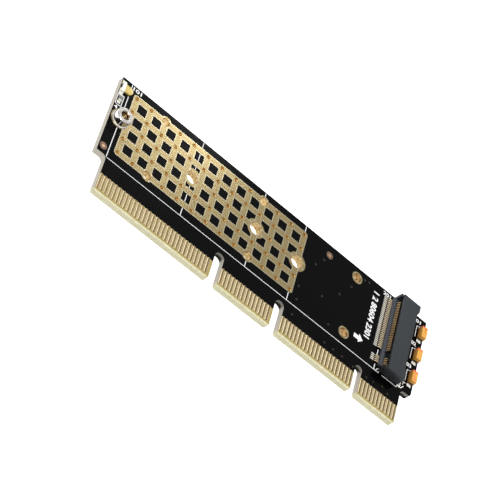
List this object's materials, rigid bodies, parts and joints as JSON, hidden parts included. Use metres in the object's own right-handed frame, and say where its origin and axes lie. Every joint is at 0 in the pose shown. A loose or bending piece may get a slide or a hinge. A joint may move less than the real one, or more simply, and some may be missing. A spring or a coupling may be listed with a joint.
{
  "type": "drive adapter card",
  "caption": "Low-profile plug-in card with a notched gold edge tongue, a drive socket, a standoff and a copper cooling lattice.",
  "frame": {"origin": "bottom centre of the card's box, under the middle of the board, at the level of the back contacts' faces", "axes": "+X along the card's length towards the drive socket, +Y from the contact edge up to the top edge, +Z out of the face that carries the parts"},
  "size_m": [0.0896, 0.0312, 0.0044],
  "materials": {
    "solder_mask": "satin black solder mask over glass-fibre laminate",
    "gold_plating": "thin gold over nickel and copper",
    "bare_copper": "dulled copper",
    "nickel": "bright nickel plate",
    "socket_plastic": "matt black moulded plastic",
    "contact_gold": "gold flash on spring bronze",
    "tin": "matt tin plate",
    "capacitor_resin": "moulded orange resin",
    "white_plastic": "white moulded plastic",
    "phosphor": "yellow resin",
    "resistor_body": "dark glass on ceramic"
  },
  "bodies": {
    "root": {"circuit_board": "solder_mask", "front_contacts_x1": "gold_plating", "front_contacts_x4": "gold_plating", "front_contacts_x8": "gold_plating", "front_contacts_x16": "gold_plating", "back_contacts_x1": "gold_plating", "back_contacts_x4": "gold_plating", "back_contacts_x8": "gold_plating", "back_contacts_x16": "gold_plating", "copper_lattice": "gold_plating", "side_hole_lands": "gold_plating", "alignment_marks": "bare_copper", "standoff": "nickel", "socket_housing": "socket_plastic", "socket_lower_contacts": "contact_gold", "socket_upper_contacts": "contact_gold", "socket_solder_tabs": "tin", "capacitor_1": "capacitor_resin", "capacitor_2": "capacitor_resin", "capacitor_3": "capacitor_resin", "capacitor_1_leads": "tin", "capacitor_2_leads": "tin", "capacitor_3_leads": "tin", "lamp_case": "white_plastic", "lamp_lens": "phosphor", "lamp_leads": "tin", "resistor_block": "resistor_body", "resistor_ends": "tin"}
  },
  "joints": []
}
